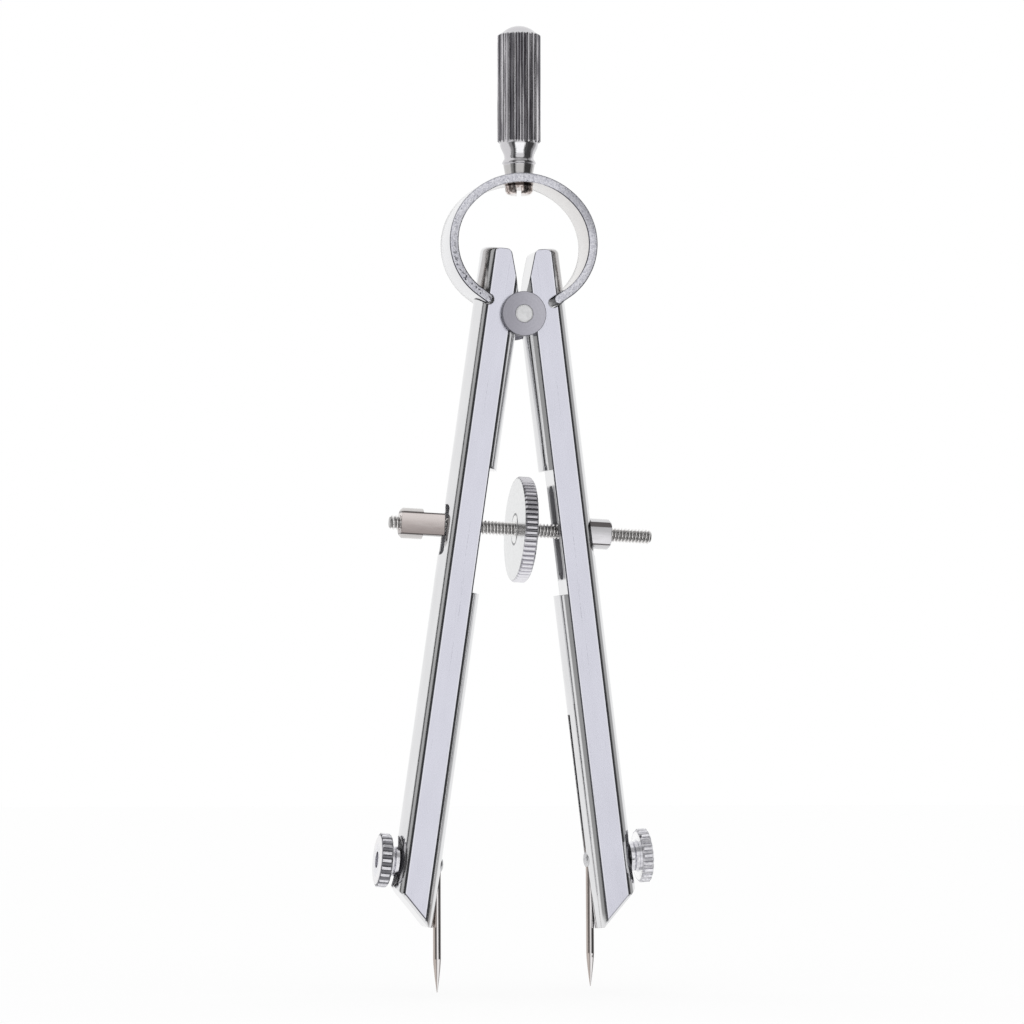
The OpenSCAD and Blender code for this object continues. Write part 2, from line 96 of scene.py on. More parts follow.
# Legs, with places along them measured down from the roller
BAR_D = 8.2
LEG_T = 7.0  # between the flats
LEG_GAP = 0.22  # from the line down from the roller's axis to the bar
LEG_HEAD = 11.1  # how far the head reaches above the roller
LEFT_OPEN = 8.1  # degrees from upright
RIGHT_OPEN = 7.0
HEAD_TAPER = 18.5
TAPER_START = 0.8  # above the roller, on the bar's inner side
FOOT_SLOPE = 42.5
FOOT_W = 106.4  # where the foot's slanted face meets the bar's axis
FOOT_BEVEL = 0.5
RECESS_W = 38.95  # middle of the wheel's recess
RECESS_LEN = 22.1
SEAT_LEN = 8.4  # painted shade of the slot under the thumb nut
SEAT_W = 5.9
RING_SLOT_W = 1.84
FLAT_LINE = 0.07  # half widths of the painted dark reflection lines round the flats and the heads
HEAD_LINE = 0.08
# Colour of those painted dark reflection lines
PAINTED_LINE_COLOUR = (0.05, 0.05, 0.06)
LEFT, RIGHT = -1, 1

# Adjusting screw
SCREW_D = 2.56
THREAD_PITCH = 0.62
THREAD_DEPTH = 0.34
SCREW_LEFT = 23.7  # how far it reaches from the middle of its collar
SCREW_RIGHT = 23.5
COLLAR_D = 5.05
COLLAR_LEN = 2.5
COLLAR_BEVEL = 0.1
SCREW_CORNERS = 48  # points round the section

# Wheel, nuts and handle
WHEEL_D = 18.7
WHEEL_T = 2.4
TOOTH_DEPTH = 0.45
NUT_FLAT_H = 3.9  # between a nut's flats
GRIP_D = 7.7
GRIP_LEN = 18.8
NECK_LEN = 4.5
THUMB_D = 9.5
WASHER_D = 7.9
RIVET_D = 3.1


class Shade:
    """A socket of a node tree. Arithmetic on it adds Math nodes, and make() adds any other node."""

    def __init__(self, tree, socket=None):
        self.tree = tree
        self.socket = socket

    def make(self, kind, settings, inputs, output=0):
        """One new node, its settings made first, then the values or links of its sockets.

        A socket is told by its name, or by its number where the node has several of one name.
        """
        node = self.tree.nodes.new(kind)
        for name, value in settings.items():
            setattr(node, name, value)
        for name, value in inputs.items():
            if isinstance(value, Shade):
                self.tree.links.new(value.socket, node.inputs[name])
            else:
                node.inputs[name].default_value = value
        return Shade(self.tree, node.outputs[output] if node.outputs else None)

    def math(self, operation, *values):
        return self.make("ShaderNodeMath", {"operation": operation}, dict(enumerate(values)))

    def __add__(self, other):
        return self.math("ADD", self, other)

    __radd__ = __add__

    def __sub__(self, other):
        return self.math("SUBTRACT", self, other)

    def __rsub__(self, other):
        return self.math("SUBTRACT", other, self)

    def __mul__(self, other):
        return self.math("MULTIPLY", self, other)

    __rmul__ = __mul__

    def __abs__(self):
        return self.math("ABSOLUTE", self)

    def at_least(self, other):
        return self.math("MAXIMUM", self, other)

    def root(self):
        return self.math("SQRT", self)

    def rise(self, low, high):
        """0 below low, 1 above high, and a smooth step between them."""
        limits = {"Value": self, "From Min": low, "From Max": high}
        return self.make("ShaderNodeMapRange", {"interpolation_type": "SMOOTHSTEP"}, limits)

    def between(self, low, high, soft):
        """1 from low to high, falling to 0 over a soft edge outside them."""
        return self.rise(low - soft, low) * (1 - self.rise(high, high + soft))

    def near(self, middle, width, soft=0.06):
        """1 within a width of a middle value, falling to 0 over a soft edge."""
        return 1 - abs(self - middle).rise(width, width + soft)

    def along(self, axis):
        """How far a vector reaches along an axis."""
        return self.make("ShaderNodeVectorMath", {"operation": "DOT_PRODUCT"}, {0: self, 1: axis}, "Value")

    def minus(self, vector):
        """A vector less another one."""
        return self.make("ShaderNodeVectorMath", {"operation": "SUBTRACT"}, {0: self, 1: vector})

    def scaled(self, x, y, z):
        """A vector with each of its parts multiplied."""
        return self.make("ShaderNodeVectorMath", {"operation": "MULTIPLY"}, {0: self, 1: (x, y, z)})

    def noise(self, scale, detail, roughness=0.5):
        """Noise about 0.5 at a vector."""
        sizes = {"Vector": self, "Scale": scale, "Detail": detail, "Roughness": roughness}
        return self.make("ShaderNodeTexNoise", {}, sizes)

    def point(self, x, y, z):
        """A vector made of three values."""
        return self.make("ShaderNodeCombineXYZ", {}, {0: x, 1: y, 2: z})

    def mix(self, a, b):
        """Colour a where this value is 0 and colour b where it is 1."""
        a, b = (c if isinstance(c, Shade) else (*c, 1) for c in (a, b))
        return self.make("ShaderNodeMix", {"data_type": "RGBA"}, {0: self, 6: a, 7: b}, 2)


def finish_of(name, make_look):
    """A metal material. make_look gives the values of the shader's sockets from the place in millimetres."""
    material = bpy.data.materials.new(name)
    material.use_nodes = True
    material.node_tree.nodes.clear()
    start = Shade(material.node_tree)
    place = start.make("ShaderNodeTexCoord", {}, {}, "Object")
    place_mm = place.scaled(1 / MM, 1 / MM, 1 / MM)
    look = make_look(place_mm)
    surface = start.make("ShaderNodeBsdfPrincipled", {}, {"Metallic": 1.0, **look})
    start.make("ShaderNodeOutputMaterial", {}, {"Surface": surface})
    return material


def relief(height, depth, edge):
    """Normal of a surface with a relief of some depth, its edges looking worn round by the radius edge."""
    bump = {"Strength": 1.0, "Distance": depth * MM, "Height": height}
    if edge:
        bump["Normal"] = height.make("ShaderNodeBevel", {"samples": 4}, {"Radius": edge * MM})
    return height.make("ShaderNodeBump", {}, bump)


def turn_of(x, y):
    """Turn about an upright axis in degrees, from the front towards the right."""
    return x.math("ARCTAN2", x, 0 - y) * (180 / math.pi)


def about(place, joint):
    """How far a place lies along a turning joint's axis, and how far from that axis."""
    middle = tuple(value / MM for value in joint["pos_m"])
    from_middle = place.minus(middle)
    length = from_middle.along(joint["axis"])
    distance = from_middle.make("ShaderNodeVectorMath", {"operation": "LENGTH"}, {0: from_middle}, "Value")
    squared = distance * distance - length * length
    return length, squared.at_least(0).root()


def leg_look(side, opening, thumb_joint):
    """Brushed flats with fine scratches, painted dark reflection lines round them and a painted highlight
    line beside those, polished round sides, and rougher slots and recesses painted in shade, with painted
    highlights at some of their ends.

    across is measured outward from the bar's own axis, length down the leg from the roller, and depth from
    the middle between the flats.
    """
    turn = math.radians(opening)
    outward = (side * math.cos(turn), 0, math.sin(turn))
    down = (side * math.sin(turn), 0, -math.cos(turn))
    flat_half = math.sqrt(BAR_D**2 - LEG_T**2) / 2
    taper, foot, tail = (math.radians(angle) for angle in (HEAD_TAPER, FOOT_SLOPE, TAIL_SLOPE))
    tail_side = (side * math.sin(tail), 0, -math.cos(tail))
    # How strong the painted dark reflection line at the foot is
    foot_line = 1.0 if side == LEFT else 0.45
    clamp_w = sum(a * b for a, b in zip(thumb_joint["pos_m"], down)) / MM - PIVOT_Z * down[2]

    def look(place):
        across = place.along(outward) - (PIVOT_Z * outward[2] + BAR_D / 2 + LEG_GAP)
        length = place.along(down) - PIVOT_Z * down[2]
        back = place.along((0, 1, 0))
        depth = abs(back)
        flat = depth.rise(LEG_T / 2 - 0.10, LEG_T / 2 - 0.02)
        from_foot = (FOOT_W - length) * math.cos(foot) - across * math.sin(foot)
        from_taper = (across + BAR_D / 2) * math.cos(taper) + (length + TAPER_START) * math.sin(taper)

        # Streaks down the leg, soft clouds, a grain, and scratches that break off
        spot = place.point(across, depth, length)
        brushed = spot.scaled(9, 9, 0.35).noise(1.0, 3.0, 0.6)
        cloudy = spot.scaled(0.5, 0.5, 0.12).noise(1.0, 2.0)
        grain = spot.noise(3.2, 3.0, 0.6)
        scratch = spot.scaled(7, 7, 0.06).noise(1.0, 1.0).rise(0.70, 0.76)
        broken = spot.scaled(4, 4, 1.6).noise(1.0, 2.0).rise(0.42, 0.55)

        # Painted dark reflection lines round the flats, the foot and the head, and a painted highlight line
        # beside them
        painted_dark_edge = abs(across).near(flat_half + 0.03, FLAT_LINE)
        painted_dark_edge = painted_dark_edge.at_least(from_foot.near(FOOT_BEVEL, FLAT_LINE) * foot_line)
        painted_dark_edge = painted_dark_edge.at_least(length.near(0.02 - LEG_HEAD, HEAD_LINE))
        painted_dark_edge = painted_dark_edge.at_least(from_taper.near(0.03, HEAD_LINE) * (1 - length.rise(-1, 0)))
        painted_dark_edge = painted_dark_edge * depth.rise(LEG_T / 2 - 0.25, LEG_T / 2 - 0.15) * (0.62 + 0.5 * grain)
        bright = abs(across).near(flat_half - 0.17, 0.04) * flat * 0.5
        flat_colour = (brushed * 0.5 + cloudy * 0.5).mix((0.645, 0.645, 0.725), (0.775, 0.775, 0.865))
        flat_colour = bright.mix(flat_colour, (0.95, 0.95, 0.98))
        flat_colour = (scratch * broken * 0.45).mix(flat_colour, (0.24, 0.24, 0.28))

        # Inside the bar, painted in shade: the wheel's recess with painted highlights at its ends, and the
        # walls beside the nut
        from_axis = (across * across + depth * depth).root()
        inside = 1 - from_axis.rise(BAR_D / 2 - 0.3, BAR_D / 2 - 0.12)
        inside = inside * (1 - depth.rise(LEG_T / 2 - 0.2, LEG_T / 2 - 0.1))
        inside = inside * length.rise(7, 8) * from_foot.rise(0.6, 0.8)
        lit_recess_end = inside * length.near(RECESS_W, RECESS_LEN / 2 + 0.3)
        lit_recess_end = lit_recess_end * abs(length - RECESS_W).rise(8, 8.6)
        pit_shade = inside * (1 - lit_recess_end)
        pocket = pit_shade * length.near(RECESS_W, RECESS_LEN / 2)

        # Painted shade in the slot that takes the ring spring and in the slot under the thumb nut, whose ends
        # are painted paler as if lit
        slot = (place.along(tail_side) - ring_place()).near(0, RING_SLOT_W / 2 + 0.02, 0.02)
        slot = slot * (1 - length.rise(6, 7))
        from_clamp = (length - clamp_w) * (1 / SEAT_LEN)
        from_middle = depth * (1 / SEAT_W)
        seat_sum = from_clamp * from_clamp + from_middle * from_middle
        seat_shade = (1 - seat_sum.rise(0.22, 0.27)) * across.rise(0, 0.5)
        lit_seat_end = seat_sum.near(0.255, 0.045, 0.03) * across.rise(0, 0.5)
        lit_seat_end = lit_seat_end * abs(from_clamp).rise(0.24, 0.32) * back.rise(-0.8, 0)

        # The slots and the inside of the bar are rougher and painted dark as shade, with their far walls
        # painted lighter as if lit
        dull_and_shaded = pit_shade.at_least(slot * 0.85).at_least(seat_shade) * (1 - flat)
        lit_far_wall = back.rise(-1.3, -0.2) * (0.4 + 0.6 * grain)
        wall_shade_colour = lit_far_wall.mix((0.17, 0.17, 0.18), (0.42, 0.42, 0.43))
        side_colour = cloudy.mix((0.72, 0.72, 0.73), (0.80, 0.80, 0.81))
        side_colour = dull_and_shaded.mix(side_colour, pocket.mix(wall_shade_colour, (0.36, 0.36, 0.38)))
        side_colour = lit_seat_end.mix(side_colour, (0.62, 0.62, 0.63))
        side_rough = 0.06 + 0.08 * grain.rise(0.45, 0.8) + 0.3 * dull_and_shaded
        rough = flat * (0.20 + 0.14 * brushed) + (1 - flat) * side_rough
        height = flat * (brushed * 0.7 + grain * 0.3) + (1 - flat) * cloudy * 0.6
        return {
            "Base Color": painted_dark_edge.mix(flat.mix(side_colour, flat_colour), PAINTED_LINE_COLOUR),
            "Roughness": rough,
            "Metallic": 1 - (lit_seat_end * 0.75).at_least(pocket * 0.6),
            "Normal": relief(height, 0.003, 0.22),
        }

    return look


def spring_look(side):
    """Sheared edges with a coarse grain, dark pits and specks, painted dark reflection lines along their
    corners, and painted shade on part of the strip; smooth rolled faces, the inner one painted darker and
    warmer as shade; and the rounded end painted dark as shade in its slot.
    """

    def look(place):
        strip = place.make("ShaderNodeAttribute", {"attribute_name": "strip"}, {}, "Vector")
        length, across, width = (strip.along(axis) for axis in ((1, 0, 0), (0, 1, 0), (0, 0, 1)))
        edge = abs(width).rise(RING_DEPTH / 2 - 0.2, RING_DEPTH / 2 - 0.05)
        grain = place.noise(2.6, 4.0, 0.7)
        pits = place.noise(5.0, 2.0, 0.6).rise(0.62, 0.74)
        low = length.rise(10, 27)
        # Painted dark reflection lines along the corners of the sheared edges, and painted shade on part of
        # the strip
        outer_line = across.near(RING_T / 2 - 0.06, 0.09)
        inner_line = across.near(0.06 - RING_T / 2, 0.09)
        if side == LEFT:
            painted_outline = (outer_line * (0.25 + 0.75 * low)).at_least(inner_line * (0.1 + 0.85 * low))
            specks = low * across.near(0.05, 0.3, 0.2) * place.noise(2.0, 2.0, 0.6).rise(0.52, 0.62)
            shade = low * 0.15
        else:
            upper = length.between(8, 22, 5)
            painted_outline = (outer_line * (0.4 + 0.25 * low)).at_least(inner_line * (0.15 + 0.75 * upper))
            specks = pits * 0.5
            shade = length.between(9, 15, 3) * 0.3
        dark = (pits * 0.5).at_least(painted_outline).at_least(specks * 0.9).at_least(shade)
        edge_colour = grain.rise(0.3, 0.7).mix((0.56, 0.56, 0.63), (0.95, 0.95, 1.0))
        edge_colour = dark.mix(edge_colour, (0.03, 0.03, 0.045))
        rolled = strip.scaled(1, 0, 0.2).noise(1.2, 2.0)
        # The inner face painted darker and warmer than the outer one, as shade
        inside = rolled.mix((0.62, 0.605, 0.60), (0.765, 0.745, 0.735))
        outside = rolled.mix((0.75, 0.75, 0.765), (0.83, 0.83, 0.845))
        face_colour = across.rise(-0.1, 0.1).mix(inside, outside)
        # The rounded end painted dark, as shade in its slot
        shaded_round_end = length.rise(STRIP_ROUND_END, STRIP_ROUND_END + 0.3) * 0.9
        face_colour = shaded_round_end.mix(face_colour, (0.07, 0.07, 0.08))
        height = edge * (grain * 0.8 + pits * -0.4) + (1 - edge) * rolled * 0.1
        return {
            "Base Color": edge.mix(face_colour, edge_colour),
            "Roughness": edge * (0.30 + 0.15 * grain) + (1 - edge) * (0.14 + 0.08 * rolled),
            "Normal": relief(height, 0.04, 0.12),
        }

    return look


def handle_look(place):
    """Grooves painted dark as shade and lighter streaked ribs, with painted highlights towards both sides and
    painted dark reflection lines at set turns, and a bright neck with a painted highlight, foot and dome.
    """
    x, y, up = (place.along(axis) for axis in ((1, 0, 0), (0, 1, 0), (0, 0, 1)))
    turn = turn_of(x, y)
    radius = (x * x + y * y).root()
    streaks = place.point(turn * 0.1, 0, up * 0.05).noise(1.0, 2.0, 0.6)
    fine = place.point(turn * 0.35, 0, up * 0.2).noise(1.0, 2.0, 0.6)
    grip = up.between(-GRIP_LEN / 2, GRIP_LEN / 2, 0.2)
    # Painted shade in the grooves between the flutes
    groove_shade = (1 - radius.rise(GRIP_D / 2 - 0.36, GRIP_D / 2 - 0.04)) * grip
    # Painted highlights and painted dark reflection lines in bands at set turns about the handle
    pale = turn.between(-68, -41, 3).at_least(turn.between(38, 50, 3))
    pale = pale.at_least(turn.near(-3, 1, 1.5))
    line = turn.near(-34, 2.5, 3).at_least(turn.near(6, 3, 3) * 0.6).at_least(turn.near(60, 5, 4))
    line = line.at_least(turn.near(-79, 2, 2))
    tone = (streaks * 0.75 + fine * 0.25 + pale * 0.07 - 0.015).rise(0.40, 0.62)
    ribs = tone.mix((0.22, 0.21, 0.23), (0.86, 0.84, 0.87))
    below = -GRIP_LEN / 2 - up
    foot = below.rise(NECK_LEN - 0.3, NECK_LEN)
    plain = foot.mix((0.61, 0.60, 0.62), (0.52, 0.51, 0.51))
    # A painted highlight on the neck
    glint = turn.between(-22, 14, 5) * below.between(0.8, 2.2, 0.4)
    plain = glint.mix(plain, (0.95, 0.95, 0.97))
    colour = grip.mix(plain, ribs)
    colour = (groove_shade * 0.45).at_least(line * grip * 0.75).mix(colour, (0.07, 0.07, 0.08))
    return {
        "Base Color": colour,
        "Roughness": 0.10 + grip * 0.12 + 0.06 * fine,
        "Normal": relief(fine, 0.008, 0.06),
    }


def screw_head_look(place):
    """Warm steel with a painted shadow under the ring, mottled with glints below and pale at its slotted end.
    """
    below = PIVOT_Z + RING_TOP - RING_T - place.along((0, 0, 1))
    grain = place.noise(1.9, 3.0, 0.6)
    body = grain.rise(0.38, 0.60).mix((0.24, 0.19, 0.17), (0.84, 0.76, 0.73))
    # A painted shadow just under the ring
    body = below.rise(0.25, 0.55).mix((0.09, 0.07, 0.065), body)
    body = below.rise(1.7, 2.1).mix(body, (0.86, 0.85, 0.84))
    return {
        "Base Color": body,
        "Roughness": 0.10 + 0.12 * grain,
        "Normal": relief(grain, 0.01, 0.1),
    }


def plain_look(dark, light, rough, spread):
    """Turned metal: two tints mottled by a grain, which also spreads the roughness, and a light relief."""

    def look(place):
        grain = place.noise(1.2, 3.0, 0.6)
        fine = place.noise(7.2, 2.0, 0.6)
        return {
            "Base Color": (grain * 0.7 + fine * 0.3).rise(0.3, 0.7).mix(dark, light),
            "Roughness": rough + spread * (grain * 0.5 + fine * 0.5),
            "Normal": relief(grain * 0.5 + fine * 0.5, 0.008, 0.1),
        }

    return look


def washer_look(place):
    """Rubbed grey with faint rings about the pin, painted lighter to the right as a reflection, and painted
    shade round its outer edge and round the pin.
    """
    x, up = (place.along(axis) for axis in ((1, 0, 0), (0, 0, 1)))
    above = up - PIVOT_Z
    radius = (x * x + above * above).root()
    rings = radius.point(radius * 7, 0, 0).noise(1.0, 2.0, 0.6)
    grain = place.noise(4.0, 3.0, 0.6)
    # Painted shade round the outer edge and round the pin
    painted_dark_edge = radius.rise(WASHER_D / 2 - 0.16, WASHER_D / 2 - 0.04)
    painted_pin_shade = 1 - radius.rise(RIVET_D / 2 + 0.03, RIVET_D / 2 + 0.12)
    mottle = (rings * 0.5 + grain * 0.5).rise(0.3, 0.7)
    # Both tints painted lighter to the right, as a painted reflection
    dark = x.rise(-4, 4).mix((0.38, 0.375, 0.42), (0.56, 0.55, 0.61))
    light = x.rise(-4, 4).mix((0.48, 0.47, 0.53), (0.68, 0.67, 0.74))
    body = mottle.mix(dark, light)
    return {
        "Base Color": (painted_dark_edge.at_least(painted_pin_shade) * 0.7).mix(body, (0.10, 0.10, 0.11)),
        "Roughness": 0.38 + 0.12 * grain,
        "Normal": relief(rings * 0.5 + grain * 0.5, 0.008, 0.1),
    }


def thread_look(place):
    """Steel threads with painted shade towards their roots, and a bright turned collar."""
    length, radius = about(place, wheel_joint)
    # Painted shade towards the roots of the threads
    root = 1 - radius.rise(SCREW_D / 2 - THREAD_DEPTH + 0.04, SCREW_D / 2 - 0.04)
    collar = 1 - abs(length).rise(COLLAR_LEN / 2 + 0.01, COLLAR_LEN / 2 + 0.03)
    grain = place.noise(2.5, 3.0, 0.6)
    body = grain.rise(0.3, 0.7).mix((0.84, 0.82, 0.81), (0.98, 0.97, 0.96))
    thread = (root * 0.65).mix(body, (0.10, 0.095, 0.095))
    return {
        "Base Color": collar.mix(thread, grain.mix((0.78, 0.78, 0.78), (0.92, 0.92, 0.92))),
        "Roughness": 0.22 + 0.12 * grain,
        "Normal": relief(grain, 0.003, 0),
    }


def wheel_look(place):
    """Bright faces with a fine mottling, gaps between the teeth painted dark as shade, lands painted lighter
    on the lower half as a reflection, and a thin line round the collar.
    """
    length, radius = about(place, wheel_joint)
    grain = place.noise(1.6, 3.0, 0.6)
    fine = place.noise(9.0, 2.0, 0.6)
    root = WHEEL_D / 2 - TOOTH_DEPTH
    # Painted shade in the gaps between the teeth, weaker on the lower half
    gap = radius.rise(root - 0.06, root - 0.02) * (1 - radius.rise(root + 0.04, WHEEL_D / 2 - 0.1))
    on_rim = 1 - abs(length).rise(WHEEL_T / 2 - 0.06, WHEEL_T / 2 - 0.02)
    # The lower half painted lighter, as a painted reflection on the lands
    lower = 1 - (place.along((0, 0, 1)) - wheel_joint["pos_m"][2] / MM).rise(-3.5, 0)
    seam = radius.near(COLLAR_D / 2 + 0.12, 0.22, 0.05)
    body = (grain * 0.6 + fine * 0.4).rise(0.3, 0.7).mix((0.70, 0.705, 0.71), (0.80, 0.805, 0.81))
    lands = lower.mix((0.62, 0.61, 0.64), (0.80, 0.79, 0.83))
    body = (on_rim * radius.rise(WHEEL_D / 2 - 0.6, WHEEL_D / 2 - 0.5)).mix(body, lands)
    dark = (gap * on_rim * (0.8 - 0.4 * lower)).at_least(seam * 0.95)
    return {
        "Base Color": dark.mix(body, (0.08, 0.08, 0.09)),
        "Roughness": 0.14 + 0.12 * fine,
        "Normal": relief(grain * 0.5 + fine * 0.5, 0.004, 0.06),
    }


def nut_look(upper, lower, ends, band):
    """Satin plate painted to change tone down its flats as a reflection, with its round ends in a third tint,
    and painted dark reflection lines along its edges.

    band is how far down from its upper edge the front flat stays painted dark.
    """

    def look(place):
        length, radius = about(place, wheel_joint)
        axis = wheel_joint["axis"]
        across = (axis[2], 0, -axis[0])
        above = place.along(across) - sum(a * b / MM for a, b in zip(across, wheel_joint["pos_m"]))
        streaks = place.point(length * 0.25, radius * 2, above * 1.5).noise(1.0, 3.0, 0.6)
        fine = place.noise(7.0, 2.0, 0.6)
        flat = 1 - abs(above).rise(NUT_FLAT_H / 2 - 0.02, NUT_FLAT_H / 2 + 0.06)
        # Painted dark reflection lines along the flats' edges, and a painted dark band below the upper edge
        edges = abs(above).near(NUT_FLAT_H / 2 - 0.04, 0.09, 0.06)
        edges = edges.at_least(above.between(NUT_FLAT_H / 2 - band, NUT_FLAT_H / 2 - 0.1, 0.1))
        # Tone painted to change down the flats, as a reflection
        reflection_fade = (above * (1 / NUT_FLAT_H) + 0.5 + (streaks - 0.5) * 0.3).rise(0.1, 0.9)
        body = flat.mix(ends, reflection_fade.mix(lower, upper))
        body = (streaks * 0.3 + fine * 0.2).mix(body, (0.5, 0.48, 0.47))
        return {
            "Base Color": (edges * 0.9).mix(body, (0.08, 0.07, 0.07)),
            "Roughness": 0.20 + 0.10 * streaks,
            "Normal": relief(streaks * 0.6 + fine * 0.4, 0.004, 0.12),
        }

    return look


def thumb_look(joint, gap, face):
    """Turned nickel with cloudy lands, painted shade in the grooves between its flutes, and faces in a
    painted tint, set for each nut as the light and shade on it.

    gap is how dark the painted shade in the grooves is, and face is the faces' painted tint.
    """

    def look(place):
        length, radius = about(place, joint)
        grain = place.noise(1.6, 3.0, 0.6)
        fine = place.noise(8.0, 2.0, 0.6)
        # Painted shade in the grooves between the flutes
        groove_shade = radius.rise(THUMB_D / 2 - 0.5, THUMB_D / 2 - 0.42)
        groove_shade = groove_shade * (1 - radius.rise(THUMB_D / 2 - 0.28, THUMB_D / 2 - 0.05))
        on_face = radius.between(THUMB_D / 2 - 1.8, THUMB_D / 2 - 0.6, 0.1)
        body = (grain * 0.6 + fine * 0.4).rise(0.3, 0.7).mix((0.58, 0.58, 0.61), (0.94, 0.93, 0.97))
        body = (on_face * 0.9).mix(body, face)
        return {
            "Base Color": (groove_shade * gap).mix(body, (0.05, 0.05, 0.06)),
            "Roughness": 0.15 + 0.12 * fine,
            "Normal": relief(grain * 0.5 + fine * 0.5, 0.006, 0.08),
        }

    return look


def needle_look(side):
    """Drawn steel: brown-grey on the left, then a painted dark reflection line and a painted highlight
    streak, and a right edge painted dark as a reflection.
    """
    low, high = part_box(f"{side}_needle")
    middle = (low + high) / 2 / MM
    axis = joints[f"{side}_needle_slide"]["axis"]
    lean = axis[0] / axis[2]

    def look(place):
        x, y, up = (place.along(axis) for axis in ((1, 0, 0), (0, 1, 0), (0, 0, 1)))
        turn = turn_of(x - middle[0] - (up - middle[2]) * lean, y - middle[1])
        grain = place.scaled(6, 6, 0.4).noise(1.0, 3.0, 0.6)
        brown = grain.mix((0.38, 0.33, 0.30), (0.58, 0.52, 0.49))
        # A painted highlight streak beside the brown-grey side, and painted dark reflection lines beside it
        # and on the right edge
        body = turn.rise(-22, -16).mix(brown, grain.mix((0.74, 0.71, 0.71), (0.90, 0.88, 0.88)))
        line = turn.near(-16, 5, 4).at_least(turn.between(34, 110, 6)) * (0.65 + 0.4 * grain)
        return {
            "Base Color": line.mix(body, (0.17, 0.15, 0.145)),
            "Roughness": 0.05 + 0.08 * grain,
            "Normal": relief(grain, 0.002, 0.03),
        }

    return look


def grid_faces(rows, columns):
    """Quads between neighbours of a grid whose columns close on themselves, as index rows."""
    r, c = np.meshgrid(np.arange(rows - 1), np.arange(columns), indexing="ij")
    after = (c + 1) % columns
    this_row, next_row = r * columns, (r + 1) * columns
    quads = np.stack([this_row + c, this_row + after, next_row + after, next_row + c], -1)
    return quads.reshape(-1, 4)


def closed_tube(name, grid, material, sharp):
    """A piece from a grid of points in millimetres, with its first and last rows closed by a face.

    Edges that turn by more than sharp degrees stay crisp.
    """
    rows, columns, _ = grid.shape
    faces = grid_faces(rows, columns).tolist()
    faces.append(list(range(columns - 1, -1, -1)))
    faces.append([(rows - 1) * columns + c for c in range(columns)])
    mesh = bpy.data.meshes.new(name)
    mesh.from_pydata((grid.reshape(-1, 3) * MM).tolist(), [], faces)
    mesh.polygons.foreach_set("use_smooth", np.ones(len(faces), bool))
    mesh.set_sharp_from_angle(angle=math.radians(sharp))
    mesh.materials.append(material)
    piece = bpy.data.objects.new(name, mesh)
    bpy.context.scene.collection.objects.link(piece)
    return piece


def thread_rows(start, end, hand):
    """Distances along the screw and radii of one threaded half.

    The radius falls from the crest to the root and back once in each pitch, as a triangle with a rounded root
    and a flat crest. The fall is set back by one pitch for each turn about the axis, and the outer end is
    bevelled. hand is 1 for a right-hand thread and -1 for a left-hand one.
    """
    rows_per_pitch = 12
    steepness, crest_flat, end_drop = 1.7, 0.45, 0.06
    steps = int(round(abs(end - start) / THREAD_PITCH * rows_per_pitch))
    along = np.linspace(start, end, steps + 1)[:, None]
    angle = np.linspace(0, 2 * np.pi, SCREW_CORNERS, endpoint=False)[None, :]
    phase = (along / THREAD_PITCH - hand * angle / (2 * np.pi)) % 1.0
    triangle = np.abs(2 * phase - 1)
    cut = np.clip(triangle * steepness - crest_flat, 0, 1)
    radius = SCREW_D / 2 - THREAD_DEPTH * np.sin(cut * np.pi / 2)
    outer = max(start, end, key=abs)
    bevel = SCREW_D / 2 - THREAD_DEPTH - end_drop + np.abs(outer - along)
    return np.broadcast_to(along, radius.shape), np.minimum(radius, bevel)


def adjusting_screw(material):
    """The screw: a left-hand and a right-hand thread on either side of a plain collar.

    Each point lies its distance along the axis and its radius away from it, at even turns about it.
    """
    left_along, left_radius = thread_rows(-SCREW_LEFT, -COLLAR_LEN / 2, -1)
    right_along, right_radius = thread_rows(COLLAR_LEN / 2, SCREW_RIGHT, 1)
    half = COLLAR_LEN / 2
    collar_along = np.array([-half, COLLAR_BEVEL - half, half - COLLAR_BEVEL, half])
    collar_radius = np.array([-COLLAR_BEVEL, 0, 0, -COLLAR_BEVEL]) + COLLAR_D / 2
    along = np.vstack([left_along, np.tile(collar_along[:, None], SCREW_CORNERS), right_along])
    radius = np.vstack([left_radius, np.tile(collar_radius[:, None], SCREW_CORNERS), right_radius])
    angle = np.linspace(0, 2 * np.pi, SCREW_CORNERS, endpoint=False)[None, :]
    axis = -np.array(wheel_joint["axis"])
    across = np.cross(axis, (0, 1, 0))
    points = (
        np.array(wheel_joint["pos_m"]) / MM
        + along[..., None] * axis
        + (radius * np.cos(angle))[..., None] * across
        + (radius * np.sin(angle))[..., None] * np.array((0, 1, 0))
    )
    piece = closed_tube("threaded_screw", points[:, ::-1], material, sharp=35)
    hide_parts("adjusting_screw")
    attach(piece, "screw")


def side_arc_middle():
    """Middle of the ring's side arcs: how far out it lies, and how high above the roller."""
    half = math.radians(CROWN_HALF_ANGLE)
    crown_z = RING_TOP - RING_T / 2 - CROWN_R
    return (CROWN_R - SIDE_R) * math.sin(half), crown_z + (CROWN_R - SIDE_R) * math.cos(half)


def ring_place():
    """How far the middle of the strip's straight end lies from the frame's origin, square to that end."""
    slope = math.radians(TAIL_SLOPE)
    side_x, side_z = side_arc_middle()
    return side_x * math.sin(slope) - (side_z + PIVOT_Z) * math.cos(slope) + SIDE_R


